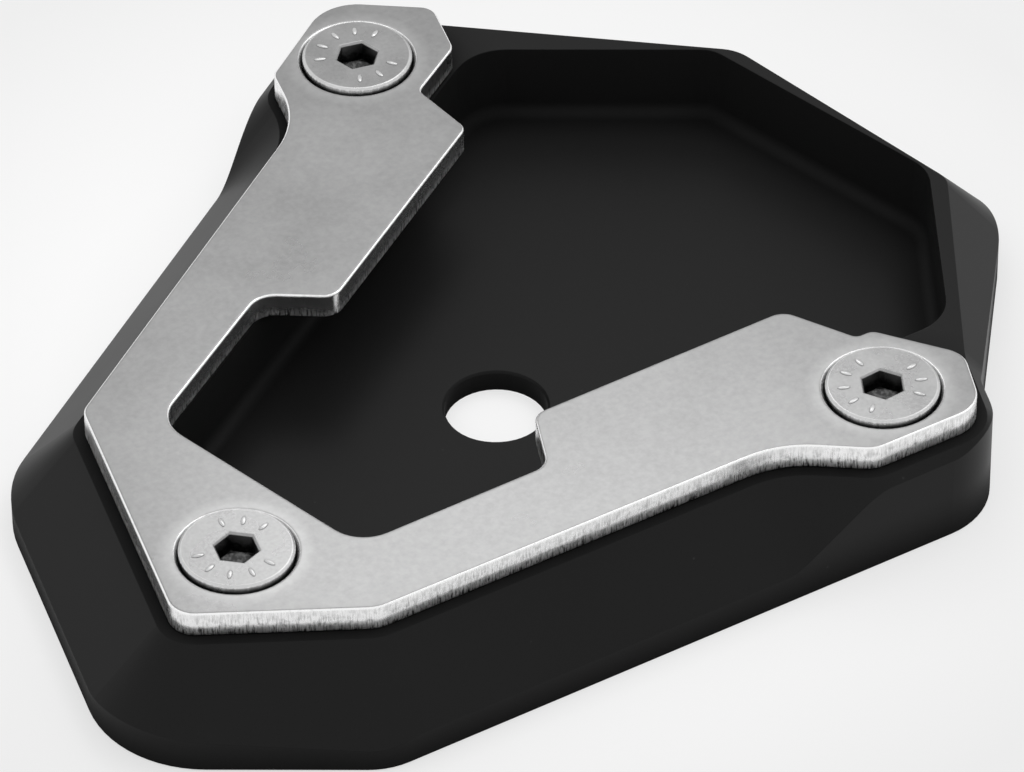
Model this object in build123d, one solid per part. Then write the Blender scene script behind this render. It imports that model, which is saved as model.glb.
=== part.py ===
from build123d import *
import math
import os

# Kickstand foot enlarger for a motorcycle: a wide machined aluminium foot with a
# pocket for the stand's own foot, and a stainless plate screwed on top of it
# that grips the stand's foot between two jaws.
# The drawing lies in X and Y, and Z is zero on the ground and points up.
# Corner lists hold (x, y, corner radius) and run anticlockwise, in millimetres.

# Heights
BASE_HEIGHT = 11.4
POCKET_FLOOR = 2.5
PLATE_THICKNESS = 3.0

# Edges and slopes of the aluminium foot
PLATE_LAND = 1.25
CHAMFER_RISE_PER_RUN = 1.15
POCKET_FLOOR_FILLET = 1.4
GROUND_EDGE_BREAK = 0.2

# Edges of the clamp plate, taken off by tumbling
PLATE_EDGE_BREAK = 0.15

# Drain hole through the pocket floor
DRAIN_HOLE_DIAMETER = 11.0
DRAIN_HOLE_CENTRE = (3.95, 9.75)
DRAIN_EDGE_BREAK = 0.25

# Countersunk socket screws, M6, with a 4 mm key
SCREW_DIAMETER = 6.0
SCREW_HEAD_DIAMETER = 12.0
SCREW_HEAD_PROUD = 0.55
SCREW_LENGTH = 10.0
SCREW_HEAD_CHAMFER = 0.25
SCREW_POINT_CHAMFER = 0.8
SOCKET_ACROSS_FLATS = 4.0
SOCKET_DEPTH = 2.5
SOCKET_LIP_CHAMFER = 0.2
COUNTERSINK_DIAMETER = 13.0
COUNTERSINK_ANGLE = 90.0
SHANK_CLEARANCE = 0.3
THREAD_CLEARANCE = 0.05
MOUTH_CHAMFER = 0.2
TAPPED_DEPTH_SPARE = 1.2
DRILL_POINT_ANGLE = 120.0

# Screw centres and how far each socket is turned, in degrees
SCREWS = [
    (14.2, 55.1, -13.3),
    (-37.1, -6.8, 17.6),
    (32.5, -20.7, 3.2),
]

# Corners of the clamp plate's front edge, round two screw lugs
FRONT_EDGE = [
    (-47.3, -11.7, 3.0),
    (-29.3, -21.7, 4.0),
    (18.6, -22.35, 12.0),
    (26.6, -28.3, 3.5),
    (39.7, -28.5, 4.0),
]

# Corner between the clamp plate's back edge and its closed end
HEEL_CORNER = (-39.8, 20.4, 2.5)

# Corners of the clamp plate's back edge, round the third screw lug
BACK_EDGE = [
    (16.4, 65.5, 5.5),
    (5.0, 57.6, 2.0),
    (3.2, 49.4, 12.0),
    HEEL_CORNER,
]

# The pocket's closed corner, which the clamp plate's throat follows
THROAT_FRONT_CORNER = (-26.0, -12.4, 4.4)
THROAT_BACK_CORNER = (-33.8, 14.9, 4.3)

# Throat of the clamp plate: front jaw, closed end, back jaw
THROAT_EDGE = [
    (42.8, -20.6, 3.0),
    (36.6, -12.5, 1.5),
    (34.7, -12.5, 1.0),
    (30.4, -4.9, 2.5),
    (-0.4, -4.9, 2.0),
    (-3.4, -12.4, 2.2),
    THROAT_FRONT_CORNER,
    THROAT_BACK_CORNER,
    (-14.9, 26.7, 3.0),
    (-8.2, 22.1, 2.2),
    (18.1, 38.7, 1.5),
    (17.1, 46.8, 1.0),
    (24.1, 51.2, 2.0),
    (25.85, 58.4, 2.0),
]

# Corners that the foot's flat top keeps to beyond the open end of the throat
FAR_RIM = [
    (43.35, -17.9, 3.0),
    (58.0, 7.1, 1.5),
    (51.0, 36.7, 3.5),
]

# Corners that it keeps to at the back, where the third lug reaches almost to its edge
BACK_RIM = [
    (17.0, 65.1, 5.5),
    (5.2, 57.2, 3.0),
    (3.8, 49.9, 12.0),
    HEEL_CORNER,
]

# Pocket for the stand's foot
POCKET = [
    THROAT_FRONT_CORNER,
    (46.5, -12.4, 5.7),
    (58.5, 9.2, 5.0),
    (49.9, 38.9, 3.5),
    (27.6, 52.95, 6.0),
    THROAT_BACK_CORNER,
]

# Outline of the foot where it stands on the ground
FOOTPRINT = [
    (-56.6, -14.9, 13.0),
    (-33.0, -29.8, 8.0),
    (41.8, -30.6, 9.0),
    (44.5, -21.4, 4.0),
    (66.2, 5.9, 13.5),
    (60.6, 32.9, 8.0),
    (17.2, 68.4, 7.0),
    (-47.3, 25.2, 14.0),
]


def rounded_face(corners):
    """Flat face from (x, y, radius) corners, with an arc at each corner."""
    points = [(x, y) for x, y, radius in corners]
    radii = [radius for x, y, radius in corners]
    return make_face(FilletPolyline(*points, radius=radii, close=True))


def countersink_depth(radius):
    """Depth below the plate's top at which the countersink has this radius."""
    slope = math.tan(math.radians(COUNTERSINK_ANGLE / 2))
    return (COUNTERSINK_DIAMETER / 2 - radius) / slope


def drill_point(radius):
    """Depth of the cone that a drill leaves below a hole of this radius."""
    return radius / math.tan(math.radians(DRILL_POINT_ANGLE / 2))


def make_base():
    """Aluminium foot: sloped rim, pocket, drain hole and tapped screw holes."""
    rim = offset(rounded_face(FRONT_EDGE + FAR_RIM + BACK_RIM), amount=PLATE_LAND)
    slope = math.degrees(math.atan(1 / CHAMFER_RISE_PER_RUN))
    spread = BASE_HEIGHT / CHAMFER_RISE_PER_RUN
    sloped = extrude(offset(rim, amount=spread), amount=BASE_HEIGHT, taper=slope)
    upright = extrude(rounded_face(FOOTPRINT), amount=BASE_HEIGHT)
    upright = chamfer(upright.faces().sort_by(Axis.Z)[0].edges(), GROUND_EDGE_BREAK)
    body = upright & sloped

    pocket = Pos(0, 0, POCKET_FLOOR) * extrude(rounded_face(POCKET), amount=BASE_HEIGHT)
    floor_edges = pocket.faces().sort_by(Axis.Z)[0].edges()
    body -= fillet(floor_edges, POCKET_FLOOR_FILLET)

    x, y = DRAIN_HOLE_CENTRE
    radius = DRAIN_HOLE_DIAMETER / 2
    body -= Pos(x, y, POCKET_FLOOR / 2) * Cylinder(radius, POCKET_FLOOR)
    body -= Pos(x, y, POCKET_FLOOR - DRAIN_EDGE_BREAK / 2) * Cone(
        radius, radius + DRAIN_EDGE_BREAK, DRAIN_EDGE_BREAK
    )

    for x, y, turn in SCREWS:
        body -= Pos(x, y, 0) * make_tapped_hole()
    return body


def make_tapped_hole():
    """Blind hole for one screw, with a mouth wide enough for the head's cone."""
    radius = SCREW_DIAMETER / 2 + THREAD_CLEARANCE
    top = BASE_HEIGHT
    bottom = BASE_HEIGHT + PLATE_THICKNESS + SCREW_HEAD_PROUD - SCREW_LENGTH - TAPPED_DEPTH_SPARE
    mouth = radius + max(0, countersink_depth(radius) - PLATE_THICKNESS) + MOUTH_CHAMFER
    section = Polyline(
        (0, bottom - drill_point(radius)),
        (radius, bottom),
        (radius, top - (mouth - radius)),
        (mouth, top),
        (0, top),
        close=True,
    )
    return revolve(Plane.XZ * make_face(section), Axis.Z)


def make_plate():
    """Stainless plate, cut from sheet, with two jaws and three screw lugs."""
    outline = rounded_face(FRONT_EDGE + THROAT_EDGE + BACK_EDGE)
    plate = Pos(0, 0, BASE_HEIGHT) * extrude(outline, amount=PLATE_THICKNESS)
    faces = plate.faces().sort_by(Axis.Z)
    plate = chamfer(faces[0].edges() + faces[-1].edges(), PLATE_EDGE_BREAK)
    for x, y, turn in SCREWS:
        plate -= Pos(x, y, 0) * make_countersink()
    return plate


def make_countersink():
    """Countersunk clearance hole for one screw."""
    mouth = COUNTERSINK_DIAMETER / 2
    hole = SCREW_DIAMETER / 2 + SHANK_CLEARANCE
    top = BASE_HEIGHT + PLATE_THICKNESS
    below_plate = BASE_HEIGHT - COUNTERSINK_DIAMETER
    section = Polyline(
        (0, below_plate),
        (hole, below_plate),
        (hole, top - countersink_depth(hole)),
        (mouth, top),
        (0, top),
        close=True,
    )
    return revolve(Plane.XZ * make_face(section), Axis.Z)


def make_screw(turn):
    """Countersunk screw with a hex socket, its head seated in the plate."""
    shank = SCREW_DIAMETER / 2
    head = SCREW_HEAD_DIAMETER / 2
    plate_top = BASE_HEIGHT + PLATE_THICKNESS
    head_top = plate_top + SCREW_HEAD_PROUD
    cone_top = plate_top - countersink_depth(head)
    cone_bottom = plate_top - countersink_depth(shank)
    end = head_top - SCREW_LENGTH
    section = Polyline(
        (0, end),
        (shank - SCREW_POINT_CHAMFER, end),
        (shank, end + SCREW_POINT_CHAMFER),
        (shank, cone_bottom),
        (head, cone_top),
        (head, head_top),
        (0, head_top),
        close=True,
    )
    screw = revolve(Plane.XZ * make_face(section), Axis.Z)
    top_rim = screw.faces().sort_by(Axis.Z)[-1].edges()
    screw = chamfer(top_rim, SCREW_HEAD_CHAMFER)

    flat = SOCKET_ACROSS_FLATS / 2
    corner = flat / math.cos(math.pi / 6)
    key = RegularPolygon(radius=corner, side_count=6)
    socket = Pos(0, 0, head_top - SOCKET_DEPTH) * extrude(key, amount=SOCKET_DEPTH)
    point = drill_point(flat)
    socket += Pos(0, 0, head_top - SOCKET_DEPTH - point / 2) * Cone(0, flat, point)
    screw -= socket
    lip = screw.faces().sort_by(Axis.Z)[-1].inner_wires()[0].edges()
    return Rot(0, 0, turn) * chamfer(lip, SOCKET_LIP_CHAMFER)


def save(name, solid):
    """Write one piece, with the middle of the footprint at the origin."""
    solid = Pos(-DATUM.X, -DATUM.Y, 0) * solid
    solid.label = name
    export_step(solid, "parts/" + name + ".step")


DATUM = rounded_face(FOOTPRINT).bounding_box().center()

os.makedirs("parts", exist_ok=True)
save("base_plate", make_base())
save("clamp_plate", make_plate())
for number, (x, y, turn) in enumerate(SCREWS, start=1):
    save("clamp_screw_" + str(number), Pos(x, y, 0) * make_screw(turn))
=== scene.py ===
import math

import bpy
from mathutils import Euler, Matrix, Vector


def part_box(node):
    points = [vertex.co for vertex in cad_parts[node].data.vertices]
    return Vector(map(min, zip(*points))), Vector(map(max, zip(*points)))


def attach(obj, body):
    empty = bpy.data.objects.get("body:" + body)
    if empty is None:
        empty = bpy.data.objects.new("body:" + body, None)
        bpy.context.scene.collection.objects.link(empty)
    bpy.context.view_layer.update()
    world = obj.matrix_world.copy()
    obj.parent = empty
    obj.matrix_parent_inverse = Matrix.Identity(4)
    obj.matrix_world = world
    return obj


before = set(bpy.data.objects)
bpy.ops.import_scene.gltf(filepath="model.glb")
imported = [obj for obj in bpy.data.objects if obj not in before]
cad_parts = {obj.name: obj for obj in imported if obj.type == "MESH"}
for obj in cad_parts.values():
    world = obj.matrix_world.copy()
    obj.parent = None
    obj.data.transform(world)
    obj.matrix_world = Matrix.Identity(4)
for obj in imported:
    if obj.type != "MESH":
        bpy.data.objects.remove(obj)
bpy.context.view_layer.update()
scene = bpy.context.scene

# The photograph's view: a long lens about 0.84 m from the part, looking down at 41 degrees along the
# line between the two jaws. The round screw heads, 12 mm across, set its angles and its distance.
VIEW_TARGET = Vector((-0.005174, -0.018084, 0.0144))
VIEW_DISTANCE = 0.8372
VIEW_ELEVATION = math.radians(41.22)
VIEW_AZIMUTH = math.radians(31.4)
VIEW_ROLL = math.radians(-0.49)
LENS_MM = 282.9

look = Vector(
    (
        math.sin(VIEW_AZIMUTH) * math.cos(VIEW_ELEVATION),
        math.cos(VIEW_AZIMUTH) * math.cos(VIEW_ELEVATION),
        -math.sin(VIEW_ELEVATION),
    )
)
camera_data = bpy.data.cameras.new("camera")
camera_data.lens = LENS_MM
camera_data.sensor_width = 36
camera_data.clip_start = 0.05
camera = bpy.data.objects.new("camera", camera_data)
scene.collection.objects.link(camera)
turn = Euler((math.pi / 2 - VIEW_ELEVATION, 0, -VIEW_AZIMUTH)).to_matrix()
roll = Matrix.Rotation(VIEW_ROLL, 3, "Z")
stand = Matrix.Translation(VIEW_TARGET - look * VIEW_DISTANCE)
camera.matrix_world = stand @ (turn @ roll).to_4x4()
scene.camera = camera


# The foot: one block of aluminium, milled all over and anodised black. The anodising is dull where it
# faces the viewer, picks up a grey sheen where it is seen at a low angle, and holds a little dust.
ANODISED_GREY = 0.0075
DUST_GREY = 0.012
ANODISED_ROUGHNESS = 0.36
ANODISED_SHEEN = 0.1
SHADED_CORNER = 0.006
FOOT_EDGE_ROUND = 0.00018


class Maths:
    """One socket of a shader tree, so that sums on it are written as sums."""

    def __init__(self, tree, socket=None):
        self.tree = tree
        self.socket = socket

    def node(self, kind, inputs, output=0, **settings):
        """A new node of this kind, with its settings made first, as the socket that it gives."""
        made = self.tree.nodes.new(kind)
        for name, value in settings.items():
            setattr(made, name, value)
        for name, value in inputs.items():
            if isinstance(value, Maths):
                self.tree.links.new(value.socket, made.inputs[name])
            else:
                made.inputs[name].default_value = value
        return Maths(self.tree, made.outputs[output])

    def sum_of(self, operation, first, second):
        """The result of one operation on two values."""
        return self.node("ShaderNodeMath", {0: first, 1: second}, operation=operation)

    def __add__(self, other):
        return self.sum_of("ADD", self, other)

    def __radd__(self, other):
        return self.sum_of("ADD", other, self)

    def __sub__(self, other):
        return self.sum_of("SUBTRACT", self, other)

    def __rsub__(self, other):
        return self.sum_of("SUBTRACT", other, self)

    def __mul__(self, other):
        return self.sum_of("MULTIPLY", self, other)

    def __rmul__(self, other):
        return self.sum_of("MULTIPLY", other, self)

    def between(self, low, high):
        """0 below low, 1 above high, and a straight rise between them."""
        return self.node("ShaderNodeMapRange", {"Value": self, "From Min": low, "From Max": high})


def new_material(name):
    """An empty material, as the pen that draws its nodes and its shader."""
    material = bpy.data.materials.new(name)
    material.use_nodes = True
    pen = Maths(material.node_tree)
    return material, pen, material.node_tree.nodes["Principled BSDF"]


def finish_material(material, shader, level, roughness, normal):
    """Gives the shader its grey level, its roughness and its normal."""
    links = material.node_tree.links
    channels = {"Red": level, "Green": level, "Blue": level}
    links.new(level.node("ShaderNodeCombineColor", channels).socket, shader.inputs["Base Color"])
    links.new(roughness.socket, shader.inputs["Roughness"])
    links.new(normal.socket, shader.inputs["Normal"])
    return material


def dress(node, material):
    """Gives a CAD piece its material."""
    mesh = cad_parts[node].data
    mesh.materials.clear()
    mesh.materials.append(material)


def anodised_black():
    """Black anodising with a fine grain, faint clouds and specks of dust, and painted shade in its
    corners and next to the plate.
    """
    material, pen, shader = new_material("black_anodised_aluminium")
    place = pen.node("ShaderNodeTexCoord", {}, output="Object")
    grain = pen.node("ShaderNodeTexNoise", {"Vector": place, "Scale": 5200.0, "Detail": 3.0})
    cloud = pen.node("ShaderNodeTexNoise", {"Vector": place, "Scale": 45.0, "Detail": 4.0})
    speck = pen.node("ShaderNodeTexVoronoi", {"Vector": place, "Scale": 210.0}, output="Distance")
    dust = 1 - speck.between(0.02, 0.035)
    # Ambient occlusion darkens the colour in corners, in recesses and next to the plate: painted shade.
    reach = {"Distance": SHADED_CORNER}
    corner_shade = pen.node("ShaderNodeAmbientOcclusion", reach, output="AO", samples=8)
    anodised = ANODISED_GREY + grain * 0.003 + cloud * 0.002
    level = anodised * (0.2 + corner_shade * 0.8) + dust * DUST_GREY
    edge = pen.node("ShaderNodeBevel", {"Radius": FOOT_EDGE_ROUND}, samples=6)
    surface = {"Height": grain, "Strength": 0.14, "Distance": 0.00002, "Normal": edge}
    shader.inputs["Specular IOR Level"].default_value = ANODISED_SHEEN
    roughness = ANODISED_ROUGHNESS + cloud * 0.08 + (1 - corner_shade.between(0.5, 1.0)) * 0.6
    return finish_material(material, shader, level, roughness, pen.node("ShaderNodeBump", surface))


dress("base_plate", anodised_black())


# The clamp plate: 3 mm stainless sheet, cut by laser and then tumbled. Its faces are a cloudy pale grey,
# its edges are smoothed by polishing and carry a painted highlight, and its cut sides keep the upright
# lines of the beam, coarse near the bottom. Painted shade darkens it in its crevices.
FACE_GREY = 0.32
CUT_GREY = 0.68
CALM_CUT_GREY = 0.86
EDGE_HIGHLIGHT_GREY = 0.6
PRESSED_GREY = 0.07
PRESSED_INSIDE = 0.0068
PRESSED_OUTSIDE = 0.0082
PLATE_ROUGHNESS = 0.3
PLATE_SHADE_REACH = 0.0016
PLATE_EDGE_ROUND = 0.0004


def away_from_axis(place, node):
    """Distance from the upright axis of a screw."""
    low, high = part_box(node)
    axis = (Vector(low) + Vector(high)) / 2
    shift = {"Vector": place, "Location": (-axis.x, -axis.y, 0.0)}
    centred = place.node("ShaderNodeMapping", shift)
    flatten = {0: centred, 1: (1.0, 1.0, 0.0)}
    flat = place.node("ShaderNodeVectorMath", flatten, operation="MULTIPLY")
    return flat.node("ShaderNodeVectorMath", {0: flat}, output="Value", operation="LENGTH")


def tumbled_stainless():
    """Plate steel: cloudy faces, edges smoothed by polishing with a painted highlight, torn cut sides, a
    bright ring round each screw, and painted shade in its crevices.
    """
    material, pen, shader = new_material("tumbled_stainless")
    place = pen.node("ShaderNodeTexCoord", {}, output="Object")
    facing = pen.node("ShaderNodeTexCoord", {}, output="Normal")
    upward = pen.node("ShaderNodeSeparateXYZ", {"Vector": facing}, output="Z")
    steep = pen.node("ShaderNodeMath", {0: upward}, operation="ABSOLUTE")
    cut = 1 - steep.between(0.15, 0.35)
    polish_and_highlight = (1 - steep.between(0.9, 0.97)) * (1 - cut)

    blotches = {"Vector": place, "Scale": 55.0, "Detail": 5.0, "Roughness": 0.6}
    stain = pen.node("ShaderNodeTexNoise", blotches)
    grain = pen.node("ShaderNodeTexNoise", {"Vector": place, "Scale": 1500.0, "Detail": 5.0})
    face = FACE_GREY * (1 + (stain - 0.5) * 0.5 + (grain - 0.5) * 0.3)

    low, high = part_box("clamp_plate")
    height = pen.node("ShaderNodeSeparateXYZ", {"Vector": place}, output="Z").between(low[2], high[2])
    upright = pen.node("ShaderNodeMapping", {"Vector": place, "Scale": (1.0, 1.0, 0.16)})
    beam = {"Vector": upright, "Scale": 5200.0, "Detail": 4.0, "Roughness": 0.6}
    line = pen.node("ShaderNodeTexNoise", beam)
    patch = pen.node("ShaderNodeTexNoise", {"Vector": place, "Scale": 1300.0, "Detail": 4.0})
    rough_cut = 1 - (height + (patch - 0.5) * 0.7).between(0.1, 0.45)
    crack = rough_cut * (1 - line.between(0.42, 0.52))
    torn = CUT_GREY + line.between(0.35, 0.6) * 0.42 + (patch - 0.5) * 1.1 - crack * 0.6
    calm = height.between(0.6, 0.85) * 0.6
    side = torn * (1 - calm) + CALM_CUT_GREY * calm

    # Ambient occlusion darkens the plate in its crevices, against the foot and round the screws: painted
    # shade.
    reach = {"Distance": PLATE_SHADE_REACH}
    crevice_shade = pen.node("ShaderNodeAmbientOcclusion", reach, output="AO", samples=8)
    first, second, third = [away_from_axis(place, "clamp_screw_" + number) for number in "123"]
    nearest = pen.sum_of("MINIMUM", first, pen.sum_of("MINIMUM", second, third))
    wavering = nearest + (stain - 0.5) * 0.0012
    pressed = 1 - wavering.between(PRESSED_INSIDE, PRESSED_OUTSIDE)
    # The rounded edges are lightened, a little unevenly: a painted highlight over the lower roughness of
    # their polishing.
    edge_highlight = polish_and_highlight * (EDGE_HIGHLIGHT_GREY + patch.between(0.35, 0.55) * 0.2)
    shine = edge_highlight + pressed * (1 - cut) * PRESSED_GREY
    level = (face * (1 - cut) + side * cut + shine) * crevice_shade.between(0.12, 0.7)
    worn = PLATE_ROUGHNESS + (stain - 0.5) * 0.2
    roughness = worn + (rough_cut * 0.19 - 0.04) * cut - polish_and_highlight * 0.08
    edge = pen.node("ShaderNodeBevel", {"Radius": PLATE_EDGE_ROUND}, samples=6)
    relief = grain * 0.25 + line * cut * 0.55
    surface = {"Height": relief, "Strength": 0.35, "Distance": 0.00005, "Normal": edge}
    shader.inputs["Metallic"].default_value = 1.0
    return finish_material(material, shader, level, roughness, pen.node("ShaderNodeBump", surface))


dress("clamp_plate", tumbled_stainless())


# The three countersunk screws: M6, stainless, with forged heads turned flat on top and a 4 mm hex socket.
# Forged marks stand up a little round each socket, in two groups, three on one side and five opposite.
HEAD_GREY = 0.35
RIM_HIGHLIGHT_GREY = 0.3
MARK_HIGHLIGHT_GREY = 0.25
HEAD_ROUGHNESS = 0.28
HEAD_RADIUS = 0.006
RIM_RADIUS = 0.00562
SOCKET_RADIUS = 0.0024
SOCKET_MOUTH = 0.0003
SOCKET_SHADE_DEPTH = 0.0016
SOCKET_SHADE = 0.82
HEAD_SHADE_REACH = 0.0022
HEAD_EDGE_ROUND = 0.0002
MARK_RADIUS = 0.0041
MARK_LENGTH = 0.0014
MARK_WIDTH = 0.00055
MARK_HEIGHT = 0.00014
MARK_STEP = math.radians(32)
MARK_GROUPS = {0.0: 3, math.pi: 5}
MARK_TURNS = {1: math.radians(-85), 2: math.radians(50), 3: math.radians(-23)}


def forged_stainless(node):
    """Screw steel with fine rings round its axis, painted highlights and reflection on the head, and
    painted shade.
    """
    material, pen, shader = new_material("forged_stainless_" + node[-1])
    place = pen.node("ShaderNodeTexCoord", {}, output="Object")
    radius = away_from_axis(place, node)
    turning = {"W": radius, "Scale": 9000.0, "Detail": 2.0}
    ring = pen.node("ShaderNodeTexNoise", turning, noise_dimensions="1D")
    stain = pen.node("ShaderNodeTexNoise", {"Vector": place, "Scale": 260.0, "Detail": 5.0})
    grain = pen.node("ShaderNodeTexNoise", {"Vector": place, "Scale": 2400.0, "Detail": 4.0})
    # Ambient occlusion darkens the screw in the groove round its head and down in its socket: painted
    # shade.
    reach = {"Distance": HEAD_SHADE_REACH}
    crevice_shade = pen.node("ShaderNodeAmbientOcclusion", reach, output="AO", samples=8)
    height = pen.node("ShaderNodeSeparateXYZ", {"Vector": place}, output="Z")
    upright = pen.node("ShaderNodeMapping", {"Vector": place, "Scale": (1.0, 1.0, 0.15)})
    line = pen.node("ShaderNodeTexNoise", {"Vector": upright, "Scale": 3200.0, "Detail": 4.0})
    # The head's upright side is lightened with upright streaks: a painted reflection with streaks of the
    # steel. A band just inside the head's edge and the tops of the forged marks are lightened: painted
    # highlights.
    side = radius.between(HEAD_RADIUS - 0.0001, HEAD_RADIUS - 0.00003)
    rim_highlight = radius.between(RIM_RADIUS, RIM_RADIUS + 0.00013) * (1 - side)
    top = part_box(node)[1][2]
    # The socket is darkened below its mouth, a little unevenly: painted shade.
    inside = 1 - radius.between(SOCKET_RADIUS, SOCKET_RADIUS + 0.0002)
    socket = height.between(top - SOCKET_MOUTH, top - SOCKET_SHADE_DEPTH) * inside
    mark_top_highlight = height.between(top + 0.00002, top + 0.00007)
    face = HEAD_GREY * (1 + (stain - 0.5) * 0.5 + (grain - 0.5) * 0.3)
    shine = rim_highlight * RIM_HIGHLIGHT_GREY + mark_top_highlight * MARK_HIGHLIGHT_GREY + side * (line - 0.15) * 0.9
    scale = 1 - grain.between(0.45, 0.62) * 0.3
    shadow = 1 - socket * SOCKET_SHADE * scale
    level = (face + shine) * shadow * crevice_shade.between(0.1, 0.75)
    roughness = HEAD_ROUGHNESS + (stain - 0.5) * 0.16
    edge = pen.node("ShaderNodeBevel", {"Radius": HEAD_EDGE_ROUND}, samples=6)
    relief = ring * 0.3 + grain
    surface = {"Height": relief, "Strength": 0.25, "Distance": 0.00004, "Normal": edge}
    shader.inputs["Metallic"].default_value = 1.0
    return finish_material(material, shader, level, roughness, pen.node("ShaderNodeBump", surface))


def mark_tree():
    """Nodes that set low oval marks along one arc, each pointing at the arc's centre."""
    tree = bpy.data.node_groups.new("forged_marks", "GeometryNodeTree")
    tree.interface.new_socket("Geometry", in_out="OUTPUT", socket_type="NodeSocketGeometry")
    kinds = {
        "Count": "NodeSocketInt",
        "Radius": "NodeSocketFloat",
        "Start": "NodeSocketFloat",
        "Sweep": "NodeSocketFloat",
        "Mark Size": "NodeSocketVector",
        "Centre": "NodeSocketVector",
        "Material": "NodeSocketMaterial",
    }
    for name, kind in kinds.items():
        tree.interface.new_socket(name, in_out="INPUT", socket_type=kind)
    entry = tree.nodes.new("NodeGroupInput")
    given = {name: Maths(tree, entry.outputs[name]) for name in kinds}
    pen = Maths(tree)
    bend = {
        "Resolution": given["Count"],
        "Radius": given["Radius"],
        "Start Angle": given["Start"],
        "Sweep Angle": given["Sweep"],
    }
    arc = pen.node("GeometryNodeCurveArc", bend, output="Curve")
    points = pen.node("GeometryNodeCurveToPoints", {"Curve": arc}, output="Points", mode="EVALUATED")
    outward = pen.node("GeometryNodeInputPosition", {})
    aim = {"Vector": outward}
    facing = pen.node("FunctionNodeAlignRotationToVector", aim, axis="X", pivot_axis="Z")
    round_ball = {"Segments": 20, "Rings": 10, "Radius": 1.0}
    ball = pen.node("GeometryNodeMeshUVSphere", round_ball, output="Mesh")
    oval = pen.node("GeometryNodeTransform", {"Geometry": ball, "Scale": given["Mark Size"]})
    smooth = pen.node("GeometryNodeSetShadeSmooth", {"Geometry": oval})
    placed = {"Points": points, "Instance": smooth, "Rotation": facing}
    marks = pen.node("GeometryNodeInstanceOnPoints", placed)
    moved = pen.node("GeometryNodeTransform", {"Geometry": marks, "Translation": given["Centre"]})
    real = pen.node("GeometryNodeRealizeInstances", {"Geometry": moved})
    done = pen.node("GeometryNodeSetMaterial", {"Geometry": real, "Material": given["Material"]})
    tree.links.new(done.socket, tree.nodes.new("NodeGroupOutput").inputs[0])
    return tree


def forge_marks(name, tree, values):
    """One group of marks as a plain mesh that rides on the part."""
    marks = bpy.data.objects.new(name, bpy.data.meshes.new(name))
    scene.collection.objects.link(marks)
    modifier = marks.modifiers.new("forged_marks", "NODES")
    modifier.node_group = tree
    for item in tree.interface.items_tree:
        if item.in_out == "INPUT":
            modifier[item.identifier] = values[item.name]
    graph = bpy.context.evaluated_depsgraph_get()
    plain = bpy.data.meshes.new_from_object(marks.evaluated_get(graph))
    marks.modifiers.clear()
    marks.data = plain
    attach(marks, "root")


marks_tree = mark_tree()
for number, turned in MARK_TURNS.items():
    screw = "clamp_screw_" + str(number)
    steel = forged_stainless(screw)
    dress(screw, steel)
    low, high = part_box(screw)
    head_middle = ((low[0] + high[0]) / 2, (low[1] + high[1]) / 2, high[2])
    for side, count in MARK_GROUPS.items():
        sweep = MARK_STEP * (count - 1)
        settings = {
            "Count": count,
            "Radius": MARK_RADIUS,
            "Start": turned + side - sweep / 2,
            "Sweep": sweep,
            "Mark Size": (MARK_LENGTH / 2, MARK_WIDTH / 2, MARK_HEIGHT),
            "Centre": head_middle,
            "Material": steel,
        }
        forge_marks("head_marks_" + str(number) + "_" + str(count), marks_tree, settings)


# The table that the part stands on and the lights round it. None of this belongs to the part.
FLOOR_SIZE = 3.0
TABLE_WHITE = 0.9
TABLE_ROUGHNESS = 0.9
BRIGHT_RADIUS = 0.045
PALE_RADIUS = 0.08
LIGHT_POOL_FADE = 0.18
BACKGROUND_SHARE = 0.65
ROOM_STRENGTH = 0.9
KEY_PLACE = (0.65, 0.0, 0.88)
KEY_SIZE = 0.6
KEY_WATTS = 1.2
GLOW_PLACE = (0.056, 0.073, 0.146)
GLOW_WIDTH = 0.1
GLOW_DEPTH = 0.05
GLOW_WATTS = 0.028

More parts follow.
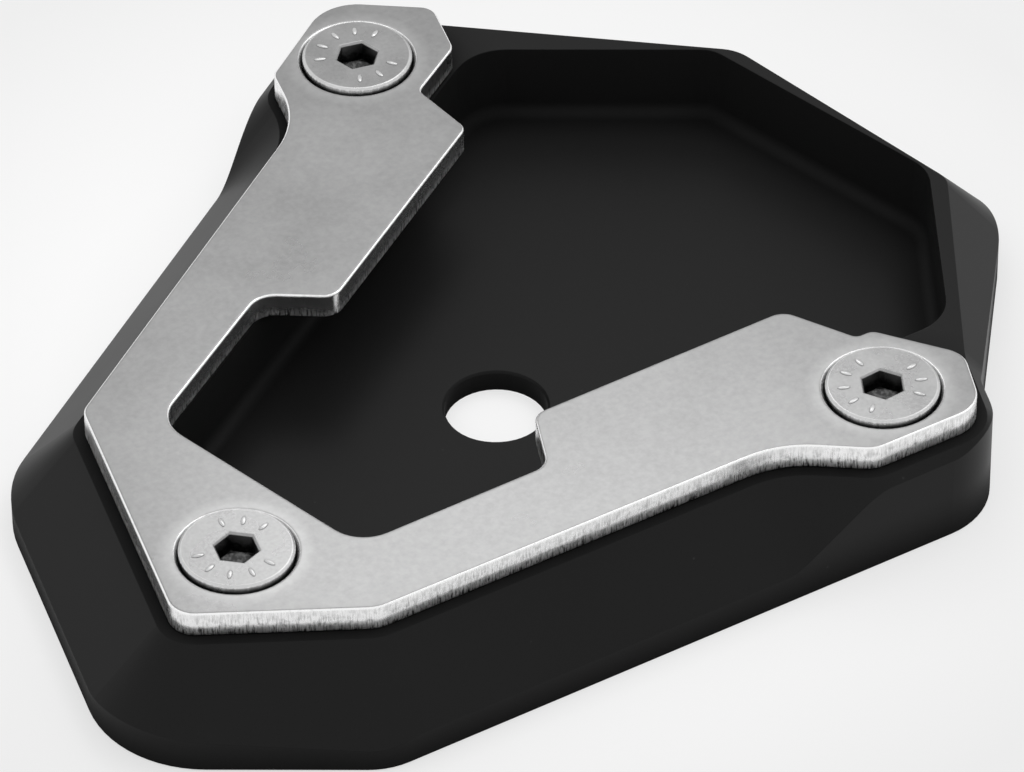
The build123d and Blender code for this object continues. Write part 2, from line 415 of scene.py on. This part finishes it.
floor_mesh = bpy.data.meshes.new("floor")
half = FLOOR_SIZE / 2
floor_mesh.from_pydata(
    [(-half, -half, 0), (half, -half, 0), (half, half, 0), (-half, half, 0)], [], [(0, 1, 2, 3)]
)
floor = bpy.data.objects.new("floor", floor_mesh)
scene.collection.objects.link(floor)
floor_material, floor_pen, floor_shader = new_material("white_table")
floor_shader.inputs["Base Color"].default_value = (TABLE_WHITE, TABLE_WHITE, TABLE_WHITE, 1)
floor_shader.inputs["Roughness"].default_value = TABLE_ROUGHNESS
floor_shader.inputs["Specular IOR Level"].default_value = 0.1
floor_place = floor_pen.node("ShaderNodeTexCoord", {}, output="Object")
distance = floor_pen.node(
    "ShaderNodeVectorMath", {0: floor_place}, output="Value", operation="LENGTH"
)
# Seen by the camera and in reflections the floor is mostly a glow, brightest near the part: a painted
# pool of light.
painted_light_pool = 1 - distance.between(BRIGHT_RADIUS, PALE_RADIUS) * LIGHT_POOL_FADE
seen = floor_pen.node("ShaderNodeLightPath", {}, output="Is Camera Ray")
mirrored = floor_pen.node("ShaderNodeLightPath", {}, output="Is Glossy Ray")
glow = floor_pen.node("ShaderNodeEmission", {"Strength": painted_light_pool})
shaded = Maths(floor_pen.tree, floor_shader.outputs[0])
share = {0: (seen + mirrored) * BACKGROUND_SHARE, 1: shaded, 2: glow}
floor_output = floor_material.node_tree.nodes["Material Output"]
floor_material.node_tree.links.new(
    floor_pen.node("ShaderNodeMixShader", share).socket, floor_output.inputs["Surface"]
)
floor_mesh.materials.append(floor_material)

world = bpy.data.worlds.new("room")
scene.world = world
world.use_nodes = True
world.node_tree.nodes["Background"].inputs["Color"].default_value = (1, 1, 1, 1)
world.node_tree.nodes["Background"].inputs["Strength"].default_value = ROOM_STRENGTH


def softbox(name, place, width, depth, watts):
    """A rectangular lamp that looks at the part."""
    data = bpy.data.lights.new(name, "AREA")
    data.shape = "RECTANGLE"
    data.size = width
    data.size_y = depth
    data.energy = watts
    lamp = bpy.data.objects.new(name, data)
    scene.collection.objects.link(lamp)
    place = Vector(place)
    aimed = (-place).to_track_quat("-Z", "Y").to_matrix().to_4x4()
    lamp.matrix_world = Matrix.Translation(place) @ aimed


softbox("key", KEY_PLACE, KEY_SIZE, KEY_SIZE, KEY_WATTS)
softbox("glow", GLOW_PLACE, GLOW_WIDTH, GLOW_DEPTH, GLOW_WATTS)

scene.view_settings.view_transform = "Standard"
